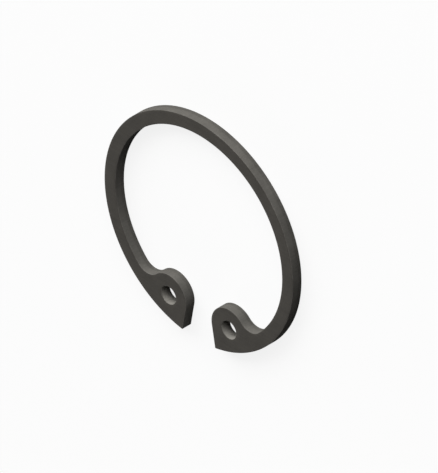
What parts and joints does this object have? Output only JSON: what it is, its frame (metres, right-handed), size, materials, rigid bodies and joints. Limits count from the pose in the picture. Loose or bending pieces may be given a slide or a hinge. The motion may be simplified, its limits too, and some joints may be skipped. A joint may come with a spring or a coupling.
{
  "type": "internal retaining ring",
  "caption": "Flat open ring of spring steel for a groove in a bore, with an inward lug at each end of its gap and a round plier hole in each lug.",
  "frame": {"origin": "centre of the rim, in the ring's lower flat face, on which it lies", "axes": "+Z along the ring's axis, out of the face that the picture shows; the gap between the lugs faces -Y; +X to the right seen from +Z"},
  "size_m": [0.0258, 0.0257, 0.0012],
  "materials": {
    "spring_steel": "satin"
  },
  "bodies": {
    "root": {"retaining_ring": "spring_steel"}
  },
  "joints": []
}
